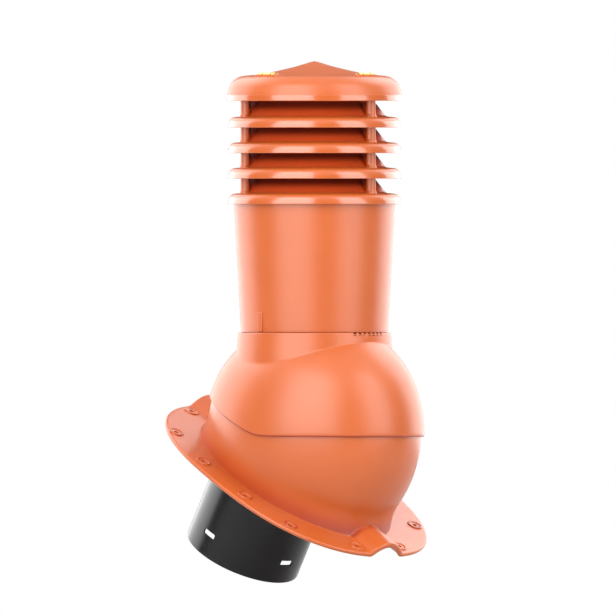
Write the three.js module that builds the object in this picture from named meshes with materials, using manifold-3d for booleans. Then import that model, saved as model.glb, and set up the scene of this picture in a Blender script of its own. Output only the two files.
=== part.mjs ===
// Roof ventilation outlet: flanged base, tilting hood, tapered pipe, louvre rings and rain cap.
// Millimetres, +Z up. The origin is the centre of the flange's underside, on the roof plane.
// +X runs level, towards the foot of the slope, and Y is the axis on which the hood tilts.
import * as THREE from 'three';
import { ParametricGeometry } from 'three/addons/geometries/ParametricGeometry.js';
import { mergeVertices } from 'three/addons/utils/BufferGeometryUtils.js';
import Module from 'manifold-3d';

// Roof and tilt axis
const ROOF_PITCH = THREE.MathUtils.degToRad(30);
const AXIS_ABOVE_ROOF = 72.6;

// Base: flange, rib, bosses, lower dome
const FLANGE_HALF_LENGTH = 192.5;
const FLANGE_HALF_WIDTH = 150;
const FLANGE_EXPONENT = 2.42;
const FLANGE_THICKNESS = 4;
const FLANGE_EDGE = 1.4;
const RIB_HALF_WIDTH = 28;
const RIB_HEIGHT = 17;
const RIB_SPREAD = 13;
const BASE_RADIUS = 150.3;
const BASE_HALF_WIDTH = 120.3;
const BASE_WALL = 2.6;
const FOOT_HEIGHT = 34.3;
const FOOT_FLARE_LENGTH = 19;
const FOOT_FLARE_WIDTH = 3;
const FOOT_STEPS = [18, 7, 0];
const INNER_FOOT_STEP = 12;
const MOUTH_HEIGHT = 65;
const MOUTH_SLOPE = 0.249;
const BOSS_RADIUS = 10;
const BOSS_HEIGHT = 1.6;
const BOSS_CHAMFER = 1.2;
const BOSS_SINK = 1.5;
const BOSS_HOLE_RADIUS = 3;
const DRILL_OVERRUN = 2;
const BOSS_PLACES = [[171.5, 38.1], [118.1, 111.8], [43.2, 127.6]];

// Duct spigot, square to the flange
const SPIGOT_RADIUS = 75;
const SPIGOT_WALL = 2.4;
const SPIGOT_UPHILL = 34.7;
const SPIGOT_END = -198.4;
const SPIGOT_COLLAR_RADIUS = 83;
const SPIGOT_COLLAR = 3;
const SLOT_ABOVE_END = 29;
const SLOT_LENGTH = 20;
const SLOT_HEIGHT = 7;
const SLOT_CUT = 20;
const SPIGOT_HOLE_GAP = 1;
const FIT_GAP = 0.3;

// Tilting hood with its collar
const HOOD_RADIUS = 153.7;
const HOOD_HALF_WIDTH = 123.7;
const HOOD_WALL = 2.2;
const COLLAR_RADIUS = 97;
const COLLAR_TOP = 127;
const COLLAR_DRAFT = 0.04;
const COLLAR_BORE = 93.6;
const CREASE_BLEND = 8;
const CREASE_LEVEL = 105;
const LEDGE_TOP = 115.7;
const LEDGE_BOTTOM = 113;
const LEDGE_BORE = 89.8;
const LEDGE_FOOT = 110.5;
const RIM_LEVEL = -6.35;
const RIM_SLOPE = 0.43;
const RIM_BEND_AT = 14;
const RIM_BEND_LENGTH = 14;
const NOTCH_FIRST = -13;
const NOTCH_STEP = 4.7;
const NOTCH_COUNT = 7;
const NOTCH_SIZE = [5, 2.6, 1.8];
const NOTCH_CIRCLE = 98.2;

// Pipe, louvre rings and cap, heights above the tilt axis
const HEAD_TURN = THREE.MathUtils.degToRad(5);
const PIPE_FOOT = 116;
const PIPE_FOOT_RADIUS = 92.6;
const PIPE_TOP_RADIUS = 102.9;
const PIPE_WALL = 3;
const PIPE_NECK_RADIUS = 102.75;
const PIPE_NECK = 8;
const PIPE_INNER_TOP = 9.8;
const KEY_SIZE = [3.4, 11, 25];
const KEY_CIRCLE = 93.6;
const RING_RADIUS = 109.8;
const RING_WALL = 2.8;
const RING_PITCH = 32.4;
const PIPE_LIP_HEIGHT = 290.2;
const POST_RADIUS = 6.35;
const POST_CIRCLE = 93;
const POST_ANGLES = [0, 120, 240];
const POST_FOOT = 12;
const POST_REACH = RING_PITCH + 9;
const WEB_THICKNESS = 3;
const WEB_OUTLINE = [
  [POST_CIRCLE - 1, 12.4],
  [POST_CIRCLE - 1, 34.5],
  [73.4, 34.5],
  [87.6, 16],
];
const CAP_WALL = 3;
const CAP_POST_TOP = 445;
const VIAL_RADIUS = 3.6;
const VIAL_LENGTH = 34;
const VIAL_CIRCLE = 87.6;
const VIAL_HEIGHT = 453;
const VIAL_TURN = THREE.MathUtils.degToRad(-2.5);
const CRADLE_SIZE = [11, 39, 6.4];
const CRADLE_HEIGHT = 450.6;

// Louvre profile, heights above its lip's foot: up the outside, down the inner cone, inside the lip.
const LOUVRE_OUTER = [
  [RING_RADIUS, 0],
  [RING_RADIUS, 6.6],
  [RING_RADIUS - 2.2, 10.9],
  [RING_RADIUS - 6.4, 12.4],
  [90.8, 13.4],
  [73.7, 35.5],
];
const LOUVRE_INNER = [
  [71.6, 33.8],
  [89.6, 10.6],
];
const LOUVRE_LIP_INNER = [
  [RING_RADIUS - RING_WALL - 4, 9.6],
  [RING_RADIUS - RING_WALL, 6],
  [RING_RADIUS - RING_WALL, 0],
];

// Cap profile, from the tip outwards, then the inside from the skirt back.
const CAP_OUTER = [
  [0, 471.4],
  [25.4, 464.8],
  [47, 459.7],
  [66, 455.4],
  [94, 452.7],
  [100, 449.8],
  [105.4, 445.2],
  [108.6, 439.5],
  [110.6, 431.5],
  [111.1, 420.6],
];
const CAP_INNER = [
  [111.1 - CAP_WALL, 420.6],
  [107.6, 431],
  [105.2, 438.6],
  [98.4, 446.8],
  [93, 449.7],
  [65.6, 452.4],
  [46.2, 456.7],
  [0, 468.2],
];

const ROUND = 36;
const PLASTIC = { color: 0xdb6a3c, roughness: 0.42, metalness: 0 };
const BLACK = { color: 0x1c1c1d, roughness: 0.5, metalness: 0 };
const VIAL = { color: 0xd8c928, roughness: 0.15, metalness: 0 };

const wasm = await Module();
wasm.setup();

// A closed geometry as a solid: shared corners merged, flattened triangles dropped.
function solid(geometry) {
  const bare = new THREE.BufferGeometry();
  bare.setAttribute('position', geometry.getAttribute('position'));
  if (geometry.index) bare.setIndex(geometry.index);
  const merged = mergeVertices(bare, 1e-3);
  const index = merged.index.array;
  const kept = [];
  for (let i = 0; i < index.length; i += 3) {
    const [a, b, c] = [index[i], index[i + 1], index[i + 2]];
    if (a !== b && b !== c && c !== a) kept.push(a, b, c);
  }
  return new wasm.Manifold(new wasm.Mesh({
    numProp: 3,
    vertProperties: new Float32Array(merged.getAttribute('position').array),
    triVerts: new Uint32Array(kept),
  }));
}

// A solid back as a geometry.
function geometryOf(body) {
  const { vertProperties, triVerts } = body.getMesh();
  const geometry = new THREE.BufferGeometry();
  geometry.setAttribute('position', new THREE.BufferAttribute(vertProperties, 3));
  geometry.setIndex(new THREE.BufferAttribute(triVerts, 1));
  return geometry;
}

function piece(name, body, look) {
  const mesh = new THREE.Mesh(geometryOf(body), new THREE.MeshStandardMaterial(look));
  mesh.name = name;
  return mesh;
}

// A profile of [radius, height] pairs turned about Z. It ends on the axis or closes on itself.
function turned(profile, segments = ROUND) {
  const points = profile.map(([r, z]) => new THREE.Vector2(r, z));
  return new THREE.LatheGeometry(points, segments).rotateX(Math.PI / 2);
}

const closed = (loop) => [...loop, loop[0]];

// A ring about Z whose closed section of [radius, height] pairs changes with the angle.
function changingRing(angles, sectionAt) {
  const sections = angles.map(sectionAt);
  const around = angles.length;
  const along = sections[0].length;
  return new ParametricGeometry((u, v, target) => {
    const i = Math.round(u * around) % around;
    const [r, z] = sections[i][Math.round(v * along) % along];
    target.set(r * Math.cos(angles[i]), r * Math.sin(angles[i]), z);
  }, around, along);
}

function box([x, y, z], at, turn = 0) {
  return new THREE.BoxGeometry(x, y, z).translate(...at).rotateZ(turn);
}

// Radius, in the direction of an angle, of an oval with two half axes.
const ovalRadius = (angle, a, b) => 1 / Math.hypot(Math.cos(angle) / a, Math.sin(angle) / b);

// Two radii joined by a rounded inner corner.
function blended(a, b, width) {
  const h = Math.max(width - Math.abs(a - b), 0) / width;
  return Math.max(a, b) + (h * h * width) / 4;
}

const span = (from, to, count) => Array.from(
  { length: count },
  (_, i) => from + ((to - from) * i) / (count - 1),
);

// The base, in its own frame: origin on the tilt axis, z square to the roof, x down the slope.
const FLANGE_TOP = FLANGE_THICKNESS - AXIS_ABOVE_ROOF;
const ROOF = -AXIS_ABOVE_ROOF;

function baseRadius(angle, z, inset = 0) {
  const radius = BASE_RADIUS - inset;
  const round = Math.sqrt(1 - Math.min((z / radius) ** 2, 1));
  const up = Math.max(z - FLANGE_TOP, 0);
  const foot = Math.max(1 - up / FOOT_HEIGHT, 0) ** 2;
  const length = radius * round + FOOT_FLARE_LENGTH * foot;
  const width = (BASE_HALF_WIDTH - inset) * round + FOOT_FLARE_WIDTH * foot;
  return ovalRadius(angle, length, width);
}

function mouthHeight(angle, inset) {
  let z = MOUTH_HEIGHT;
  for (let i = 0; i < 40; i += 1) {
    z = MOUTH_HEIGHT + MOUTH_SLOPE * baseRadius(angle, z, inset) * Math.cos(angle);
  }
  return z;
}

function flangeRadius(angle) {
  const along = Math.abs(Math.cos(angle) / FLANGE_HALF_LENGTH) ** FLANGE_EXPONENT;
  const across = Math.abs(Math.sin(angle) / FLANGE_HALF_WIDTH) ** FLANGE_EXPONENT;
  return (along + across) ** (-1 / FLANGE_EXPONENT);
}

function ribHeight(angle, radius) {
  const across = Math.min(Math.abs(radius * Math.sin(angle)) / RIB_HALF_WIDTH, 1);
  return RIB_HEIGHT * (0.5 + 0.5 * Math.cos(Math.PI * across));
}

function spigotHole(angle, radius) {
  const aside = SPIGOT_UPHILL * Math.sin(angle);
  return Math.sqrt(radius * radius - aside * aside) - SPIGOT_UPHILL * Math.cos(angle);
}

function baseSection(angle) {
  const section = [];
  const footTop = FLANGE_TOP + FOOT_HEIGHT;
  const mouth = mouthHeight(angle, 0);
  const wallHeights = [
    ...span(mouth, footTop, 4),
    ...FOOT_STEPS.map((up) => FLANGE_TOP + up),
  ];
  for (const z of wallHeights) {
    const r = baseRadius(angle, z);
    section.push([r, Math.max(z, FLANGE_TOP + ribHeight(angle, r))]);
  }
  const foot = baseRadius(angle, FLANGE_TOP);
  const edge = flangeRadius(angle);
  const lift = (r, z) => [r, z + ribHeight(angle, r)];
  section.push(lift((foot + edge) / 2, FLANGE_TOP));
  section.push(lift(edge - FLANGE_EDGE, FLANGE_TOP));
  section.push(lift(edge, FLANGE_TOP - FLANGE_EDGE));
  section.push(lift(edge, ROOF));
  section.push(lift((foot + edge) / 2, ROOF));
  section.push(lift(foot, ROOF));
  section.push([foot, ROOF]);
  const hole = spigotHole(angle, SPIGOT_RADIUS + SPIGOT_HOLE_GAP);
  section.push([hole, ROOF]);
  section.push([hole, FLANGE_TOP]);
  const innerMouth = mouthHeight(angle, BASE_WALL);
  for (const z of [FLANGE_TOP, FLANGE_TOP + INNER_FOOT_STEP, ...span(footTop, innerMouth, 3)]) {
    section.push([baseRadius(angle, z, BASE_WALL), z]);
  }
  return section.reverse();
}

// Close steps where the rib crosses the flange, wider ones between.
function baseAngles() {
  const near = span(-RIB_SPREAD, RIB_SPREAD, 11);
  const between = span(RIB_SPREAD, 180 - RIB_SPREAD, 16).slice(1, -1);
  const half = [...near, ...between];
  return [...half, ...half.map((a) => a + 180)].map(THREE.MathUtils.degToRad);
}

function roofBase() {
  let body = solid(changingRing(baseAngles(), baseSection));
  const boss = turned([
    [0, FLANGE_TOP - BOSS_SINK],
    [BOSS_RADIUS, FLANGE_TOP - BOSS_SINK],
    [BOSS_RADIUS, FLANGE_TOP + BOSS_HEIGHT - BOSS_CHAMFER],
    [BOSS_RADIUS - BOSS_CHAMFER, FLANGE_TOP + BOSS_HEIGHT],
    [0, FLANGE_TOP + BOSS_HEIGHT],
  ], 10);
  const drill = turned([
    [0, ROOF - DRILL_OVERRUN],
    [BOSS_HOLE_RADIUS, ROOF - DRILL_OVERRUN],
    [BOSS_HOLE_RADIUS, FLANGE_TOP + BOSS_HEIGHT + DRILL_OVERRUN],
    [0, FLANGE_TOP + BOSS_HEIGHT + DRILL_OVERRUN],
  ], 8);
  for (const [along, across] of BOSS_PLACES) {
    for (const [sx, sy] of [[1, 1], [1, -1], [-1, 1], [-1, -1]]) {
      const at = [sx * along, sy * across, 0];
      body = body.add(solid(boss.clone().translate(...at)));
      body = body.subtract(solid(drill.clone().translate(...at)));
    }
  }
  return body;
}

// The spigot hangs through the floor of the base by its collar.
function ductSpigot() {
  const inner = SPIGOT_RADIUS - SPIGOT_WALL;
  const seat = FLANGE_TOP + FIT_GAP;
  let body = solid(turned(closed([
    [inner, SPIGOT_END],
    [SPIGOT_RADIUS, SPIGOT_END],
    [SPIGOT_RADIUS, seat],
    [SPIGOT_COLLAR_RADIUS, seat],
    [SPIGOT_COLLAR_RADIUS, seat + SPIGOT_COLLAR],
    [inner, seat + SPIGOT_COLLAR],
  ])));
  const half = SLOT_LENGTH / 2;
  const round = SLOT_HEIGHT / 2;
  const outline = new THREE.Shape();
  outline.moveTo(-half + round, -round);
  outline.lineTo(half - round, -round);
  outline.absarc(half - round, 0, round, -Math.PI / 2, Math.PI / 2);
  outline.lineTo(-half + round, round);
  outline.absarc(-half + round, 0, round, Math.PI / 2, Math.PI * 1.5);
  const cutter = new THREE.ExtrudeGeometry(outline, {
    depth: SLOT_CUT,
    curveSegments: 4,
    bevelEnabled: false,
  });
  cutter.rotateX(Math.PI / 2).translate(0, SPIGOT_RADIUS + SLOT_CUT / 2, SPIGOT_END + SLOT_ABOVE_END);
  for (const turn of [0, 90, 180, 270]) {
    const slot = cutter.clone().rotateZ(THREE.MathUtils.degToRad(turn));
    body = body.subtract(solid(slot));
  }
  return body;
}

// The hood, in the head's frame: origin on the tilt axis, z along the pipe.
function hoodRadius(angle, z, inset = 0) {
  const radius = HOOD_RADIUS - inset;
  const round = Math.sqrt(1 - Math.min((z / radius) ** 2, 1));
  return ovalRadius(angle, radius, HOOD_HALF_WIDTH - inset) * round;
}

const collarRadius = (z) => COLLAR_RADIUS + COLLAR_DRAFT * (COLLAR_TOP - z);
const hoodOuter = (angle, z) => blended(hoodRadius(angle, z), collarRadius(z), CREASE_BLEND);
const hoodInner = (angle, z) => Math.max(hoodRadius(angle, z, HOOD_WALL), COLLAR_BORE);

function rimHeight(angle) {
  let z = RIM_LEVEL;
  for (let i = 0; i < 40; i += 1) {
    const back = RIM_BEND_AT - hoodRadius(angle, z) * Math.cos(angle);
    z = RIM_LEVEL + (RIM_SLOPE / 2) * (back + Math.hypot(back, RIM_BEND_LENGTH));
  }
  return z;
}

// Height at which the round of the hood narrows to a given radius.
function hoodHeight(angle, r, inset = 0) {
  const radius = HOOD_RADIUS - inset;
  const widest = ovalRadius(angle, radius, HOOD_HALF_WIDTH - inset);
  return radius * Math.sqrt(Math.max(1 - (r / widest) ** 2, 0));
}

function hoodSection(angle) {
  const rim = rimHeight(angle);
  const crease = hoodHeight(angle, collarRadius(CREASE_LEVEL));
  const widest = ovalRadius(angle, HOOD_RADIUS, HOOD_HALF_WIDTH);
  const steep = (widest ** 2 * crease) / (HOOD_RADIUS ** 2 * collarRadius(CREASE_LEVEL));
  const reach = CREASE_BLEND / steep;
  const last = Math.min(crease + reach, COLLAR_TOP - 2);
  const heights = [
    ...span(rim, crease - reach, 5),
    crease - reach * 0.3,
    crease + reach * 0.2,
    last,
    COLLAR_TOP,
  ];
  const section = heights.map((z) => [hoodOuter(angle, z), z]);
  section.push([COLLAR_BORE, COLLAR_TOP]);
  section.push([COLLAR_BORE, LEDGE_TOP]);
  section.push([LEDGE_BORE, LEDGE_TOP]);
  section.push([LEDGE_BORE, LEDGE_BOTTOM]);
  section.push([hoodInner(angle, LEDGE_FOOT), LEDGE_FOOT]);
  const innerCrease = Math.min(hoodHeight(angle, COLLAR_BORE, HOOD_WALL), LEDGE_FOOT - 1);
  for (const z of span(innerCrease, rim, 9)) {
    section.push([hoodInner(angle, z), z]);
  }
  return section;
}

function tiltHood() {
  const angles = span(0, 360, 45).slice(0, -1).map(THREE.MathUtils.degToRad);
  let body = solid(changingRing(angles, hoodSection));
  for (let i = 0; i < NOTCH_COUNT; i += 1) {
    const turn = THREE.MathUtils.degToRad(NOTCH_FIRST + NOTCH_STEP * i);
    const at = [NOTCH_CIRCLE, 0, COLLAR_TOP];
    body = body.subtract(solid(box(NOTCH_SIZE, at, turn)));
  }
  return body;
}

// Three posts with webs back to the cone, standing on a louvre's top sheet.
function withPosts(body, lip, top) {
  const foot = lip + POST_FOOT;
  const web = new THREE.Shape(WEB_OUTLINE.map(([r, z]) => new THREE.Vector2(r, z + lip)));
  const plate = new THREE.ExtrudeGeometry(web, { depth: WEB_THICKNESS, bevelEnabled: false });
  plate.rotateX(Math.PI / 2).translate(0, WEB_THICKNESS / 2, 0);
  const post = turned([[0, foot], [POST_RADIUS, foot], [POST_RADIUS, top], [0, top]], 8);
  post.translate(POST_CIRCLE, 0, 0);
  for (const angle of POST_ANGLES) {
    const turn = THREE.MathUtils.degToRad(angle);
    body = body.add(solid(post.clone().rotateZ(turn)));
    body = body.add(solid(plate.clone().rotateZ(turn)));
  }
  return body;
}

function louvreRing(lip, postTop) {
  const loop = [...LOUVRE_OUTER, ...LOUVRE_INNER, ...LOUVRE_LIP_INNER];
  const raised = loop.map(([r, z]) => [r, z + lip]);
  return withPosts(solid(turned(closed(raised))), lip, postTop);
}

function ventPipe() {
  const lip = PIPE_LIP_HEIGHT;
  const at = (list) => list.map(([r, z]) => [r, z + lip]);
  let body = solid(turned(closed([
    ...at(LOUVRE_OUTER),
    ...at(LOUVRE_INNER),
    [PIPE_TOP_RADIUS - PIPE_WALL, lip + PIPE_INNER_TOP],
    [PIPE_FOOT_RADIUS - PIPE_WALL, PIPE_FOOT],
    [PIPE_FOOT_RADIUS, PIPE_FOOT],
    [PIPE_NECK_RADIUS, lip + PIPE_NECK],
    ...at(LOUVRE_LIP_INNER.slice(1)),
  ])));
  body = withPosts(body, lip, lip + POST_REACH);
  for (const side of [-90, 90]) {
    const turn = THREE.MathUtils.degToRad(side) - HEAD_TURN;
    const keyAt = [KEY_CIRCLE, 0, COLLAR_TOP + FIT_GAP + KEY_SIZE[2] / 2];
    body = body.add(solid(box(KEY_SIZE, keyAt, turn)));
  }
  return body;
}

const vialTurn = (side) => VIAL_TURN - (side === 'slope' ? 0 : Math.PI / 2);

function vialShape(radius, length) {
  const straight = length - 2 * radius;
  return new THREE.CapsuleGeometry(radius, straight, 2, 8).translate(VIAL_CIRCLE, 0, VIAL_HEIGHT);
}

function rainCap() {
  let body = solid(turned([...CAP_OUTER, ...CAP_INNER].reverse()));
  for (const side of ['slope', 'side']) {
    const cradle = box(CRADLE_SIZE, [VIAL_CIRCLE, 0, CRADLE_HEIGHT], vialTurn(side));
    const bed = vialShape(VIAL_RADIUS + FIT_GAP, VIAL_LENGTH + 2 * FIT_GAP);
    body = body.add(solid(cradle));
    body = body.subtract(solid(bed.rotateZ(vialTurn(side))));
  }
  return body;
}

const outlet = new THREE.Group();
const axisAt = new THREE.Vector3(
  AXIS_ABOVE_ROOF * Math.sin(ROOF_PITCH),
  0,
  AXIS_ABOVE_ROOF * Math.cos(ROOF_PITCH),
);

const base = new THREE.Group();
base.position.copy(axisAt);
base.rotation.y = ROOF_PITCH;
base.add(piece('roof_base', roofBase(), PLASTIC));
const spigot = piece('duct_spigot', ductSpigot(), BLACK);
spigot.position.x = -SPIGOT_UPHILL;
base.add(spigot);
outlet.add(base);

const hood = new THREE.Group();
hood.position.copy(axisAt);
hood.add(piece('tilt_hood', tiltHood(), PLASTIC));
outlet.add(hood);

const head = new THREE.Group();
head.position.copy(axisAt);
head.rotation.z = HEAD_TURN;
head.add(piece('vent_pipe', ventPipe(), PLASTIC));
for (const order of [1, 2, 3]) {
  const lip = PIPE_LIP_HEIGHT + RING_PITCH * (4 - order);
  const top = order === 1 ? CAP_POST_TOP : lip + POST_REACH;
  head.add(piece(`louvre_ring_${order}`, louvreRing(lip, top), PLASTIC));
}
head.add(piece('rain_cap', rainCap(), PLASTIC));
for (const side of ['slope', 'side']) {
  const vial = solid(vialShape(VIAL_RADIUS, VIAL_LENGTH).rotateZ(vialTurn(side)));
  head.add(piece(`level_vial_${side}`, vial, VIAL));
}
outlet.add(head);

export default outlet;
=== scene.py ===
"""Looks of a roof vent outlet: flanged base, tilting hood, tapered pipe, louvre rings and rain cap.

Shapes are worked out in millimetres from the tilt axis, then placed in the frame in metres.
"""
import math

import bmesh
import bpy
import numpy as np
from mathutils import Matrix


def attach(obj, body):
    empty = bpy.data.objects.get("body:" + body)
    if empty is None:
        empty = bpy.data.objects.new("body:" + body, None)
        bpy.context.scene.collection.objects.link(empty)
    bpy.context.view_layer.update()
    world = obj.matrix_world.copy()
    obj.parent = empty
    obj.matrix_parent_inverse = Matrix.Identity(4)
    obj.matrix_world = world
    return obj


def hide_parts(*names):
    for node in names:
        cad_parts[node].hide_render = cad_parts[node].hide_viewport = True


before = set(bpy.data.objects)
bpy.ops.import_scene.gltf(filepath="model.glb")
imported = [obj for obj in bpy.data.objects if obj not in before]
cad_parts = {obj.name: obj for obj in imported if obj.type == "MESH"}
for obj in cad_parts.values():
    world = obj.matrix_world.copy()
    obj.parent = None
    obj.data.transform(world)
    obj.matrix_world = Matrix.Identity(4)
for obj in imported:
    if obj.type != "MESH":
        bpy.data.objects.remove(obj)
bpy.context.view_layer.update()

# Units: a millimetre in metres, and a metre in millimetres
MM = 0.001
METRE = 1000

# Fineness of the meshes
EASE_LIMIT = 0.49
SIDE_POINTS = np.array((0.03, 0.35, 0.65, 0.97))
CLOSEST_POINTS = 1e-4
MERGE_DISTANCE = 2e-6
SLIVER_LENGTH = 1e-7
SHARP_BEND = math.radians(38)
SUBSTITUTIONS = 40
BASE_COLUMNS = 480
RIB_CROWDING = 0.35
FOOT_CROWDING = 1.3
HOOD_COLUMNS = 300
HOOD_ROWS = 90
CREASE_CROWDING = 1.5
NOTCH_EDGE_COLUMNS = np.array((-0.0012, -0.0004, 0.0004, 0.0012))
POINTER_COLUMNS = np.linspace(-0.02, 0.02, 13)

# Roof and tilt axis
ROOF_PITCH = math.radians(30)
AXIS_ABOVE_ROOF = 72.6
AXIS = AXIS_ABOVE_ROOF * np.array((math.sin(ROOF_PITCH), 0, math.cos(ROOF_PITCH)))
HEAD_TURN = math.radians(5)

# Base: flange, rib, lower dome, bosses
FLANGE_HALF_LENGTH = 190
FLANGE_HALF_WIDTH = 147.5
FLANGE_DOWNHILL = 2
FLANGE_EXPONENT = 2.42
FLANGE_THICKNESS = 4
FLANGE_EDGE = 1.8
LIP_DROP = 1.2
LIP_WIDTH = 5
ROOF = -AXIS_ABOVE_ROOF
FLANGE_TOP = ROOF + FLANGE_THICKNESS
RIB_HALF_WIDTH = 29
RIB_HEIGHT = 15.6
RIB_HOLLOW_HALF_WIDTH = 25
RIB_HOLLOW_HEIGHT = 14
RIB_FOOT_BLEND = 3
BASE_RADIUS = 149.6
BASE_HALF_WIDTH = 119.6
BASE_WALL = 2.6
FOOT_HEIGHT = 34.3
FOOT_FLARE_LENGTH = 19
FOOT_FLARE_WIDTH = 3
MOUTH_HEIGHT = 65
MOUTH_SLOPE = 0.249
BOSS_RADIUS = 10
BOSS_HEIGHT = 1.6
BOSS_SINK = 0.8
BOSS_HOLE = 3
BOSS_PLACES = np.array([(171.5, 38.1), (118.1, 111.8), (43.2, 127.6)])
DRILL_RADIUS = BOSS_HOLE + 0.3
DRILL_FOOT = -8
DRILL_TOP = 4

# Duct spigot, square to the flange
SPIGOT_RADIUS = 75
SPIGOT_WALL = 2.4
SPIGOT_UPHILL = 34.7
SPIGOT_END = -198.4
SPIGOT_COLLAR_RADIUS = 83
SPIGOT_HOLE_RADIUS = SPIGOT_RADIUS + 1
SPIGOT_SEAT = FLANGE_TOP + 0.3
SPIGOT_COLLAR = 3
SLOT_ABOVE_END = 29
SLOT_HALF_LENGTH = 10
SLOT_HALF_HEIGHT = 3.5
SLOT_CORNER = 1.6
SLOT_ANGLES = np.radians((0, 90, 180, 270))
SLOT_CUT_FROM = SPIGOT_RADIUS - 12
SLOT_CUT_TO = SPIGOT_RADIUS + 8

# Tilting hood with its collar
HOOD_RADIUS = 153.7
HOOD_HALF_WIDTH = 123.7
HOOD_WALL = 2.2
FLATTER_ABOVE = 70
FLATTER_OUTSIDE = 0.10
FLATTER_INSIDE = 0.05
FLATTER_BEND = 10
COLLAR_RADIUS = 97
COLLAR_TOP = 126.2
COLLAR_DRAFT = 0.1
COLLAR_BORE = 93.6
CREASE_BLEND = 1.4
RIM_LEVEL = -6.35
RIM_SLOPE = 0.43
RIM_BEND_AT = 14
RIM_BEND_LENGTH = 14
OUTSIDE_ABOVE_RIM = 1.8
INSIDE_ABOVE_RIM = 1
INSIDE_BELOW_TOP = 4
NOTCH_ANGLES = np.radians(-13 + 4.7 * np.arange(7))
NOTCH_HALF_WIDTH = 2.2
NOTCH_DEPTH = 1.8
NOTCH_SIDE = 0.15
POINTER_ANGLE = math.radians(-2.6)
POINTER_HALF_WIDTH = 1.1
POINTER_HALF_LENGTH = 2.4
POINTER_MIDDLE = COLLAR_TOP - 4.8
POINTER_HEIGHT = 0.6
SEAT_OUTER_RADIUS = COLLAR_BORE + 1.5
SEAT_INNER_RADIUS = 89.8
SEAT_TOP = 115.7
SEAT_INNER_FOOT = 113
SEAT_OUTER_FOOT = 110.5

# Collar's top edge from outside to inside: depth below the top, distance in from the outside
COLLAR_EDGE = np.array([
    (2.2, 0),
    (1.0, 0),
    (0.5, 0.15),
    (0.15, 0.45),
    (0, 0.9),
    (0, 2.6),
    (0.3, 3.2),
    (1.5, 3.4),
])
# Hood's hem from inside to outside: height above the rim, share of the wall from the outside
HOOD_HEM = np.array([
    (0.25, 0.9),
    (0.0, 0.65),
    (0.1, 0.42),
    (0.45, 0.22),
    (1.0, 0.07),
])

# Pipe, louvre rings and cap
PIPE_FOOT = 116
PIPE_LIP = 290.2
NECK_RADIUS = 90.6
RING_PITCH = 32.4
RING_NUMBERS = (1, 2, 3)
LIP_RADIUS = 109.8
POST_RADIUS = 6.35
POST_CIRCLE = 93
POST_ANGLES = np.radians((0, 120, 240))
POST_FOOT = 12.6
POST_SINK = 1
POST_OVERLAP = 9
POST_GROOVE_DEPTH = 0.7
POST_GROOVE_ANGLE = 0.22
POST_GROOVE_FOOT = 3.5
WEB_THICKNESS = 3
WEB_EDGE = 0.4
CAP_POST_TOP = 445
KEY_HALF_SIZE = (2.9, 4.2, 12.5)
KEY_CORNER = 0.9
KEY_AT = (93.0, 0, 139.8)
KEY_ANGLES = np.radians((-92, 88)) - HEAD_TURN
VIAL_RADIUS = 3.6
VIAL_LENGTH = 34
VIAL_CIRCLE = 87.6
VIAL_HEIGHT = 453
VIAL_TURNS = {"slope": math.radians(-2.5), "side": math.radians(-92.5)}

# Louvre's outline from its lip's height, as (radius, height, ease): over the lip, up the cone and back
LOUVRE_OUTSIDE = np.array([
    (LIP_RADIUS, -0.8, 0.8),
    (LIP_RADIUS - 0.1, 3.6, 2.6),
    (LIP_RADIUS - 2.2, 9.6, 3.2),
    (LIP_RADIUS - 6.4, 12.4, 3.0),
    (90.8, 13.4, 3.0),
    (73.7, 35.5, 0.7),
    (71.6, 33.8, 0.7),
    (89.6, 10.6, 3.0),
])
LIP_INSIDE = np.array([
    (103, 9.6, 2.0),
    (107, 6, 2.0),
    (107, -0.8, 0.8),
])
# Vial's cradle from outside to inside: half width, half length, corner, height
CRADLE_ROWS = np.array([
    (5.5, 19.5, 2.6, 447.6),
    (5.5, 19.5, 2.6, 453.0),
    (5.1, 19.1, 2.4, 453.8),
    (4.4, 18.2, 3.6, 453.8),
    (3.8, 17.3, 3.75, 453.0),
])
CRADLE_FLOOR = 449.2
CRADLE_FLOOR_SHARE = 0.8


# Placing

def on_roof(points):
    """Points of the base's own frame, z square to the roof, turned by the pitch and moved to the axis."""
    x, y, z = np.moveaxis(points, -1, 0)
    cos, sin = math.cos(ROOF_PITCH), math.sin(ROOF_PITCH)
    return (np.stack([cos * x + sin * z, y, cos * z - sin * x], -1) + AXIS) * MM


def at_spigot(points):
    """Points about the spigot's own axis, uphill of the tilt axis, placed with the base."""
    return on_roof(points - (SPIGOT_UPHILL, 0, 0))


def turned(points, angle):
    """Points turned about the upright axis by an angle."""
    x, y, z = np.moveaxis(points, -1, 0)
    cos, sin = math.cos(angle), math.sin(angle)
    return np.stack([cos * x - sin * y, sin * x + cos * y, z], -1)


def upright(points, turn=0.0):
    """Points of the upright hood or head, turned about its axis and moved to the tilt axis."""
    return (turned(points, turn) + AXIS) * MM


def on_head(points):
    """Points of the pipe, rings and cap, which stand a little turned in the hood."""
    return upright(points, HEAD_TURN)


# Surfaces: each gives (points, faces)

def steps(count):
    """Shares from 0 to 1, one to a row."""
    return np.linspace(0, 1, count)[:, None]


def full_turn(columns):
    """Evenly spaced angles once round."""
    return np.linspace(0, 2 * np.pi, columns, endpoint=False)


def half_step_turn(columns):
    """Evenly spaced angles once round, the first half a step past zero."""
    return (np.arange(columns) + 0.5) * 2 * np.pi / columns


def about_axis(radius, angle, height):
    """Points at a radius and an angle about the upright axis, and at a height."""
    return np.stack([radius * np.cos(angle), radius * np.sin(angle), height + 0 * angle], -1)


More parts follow.
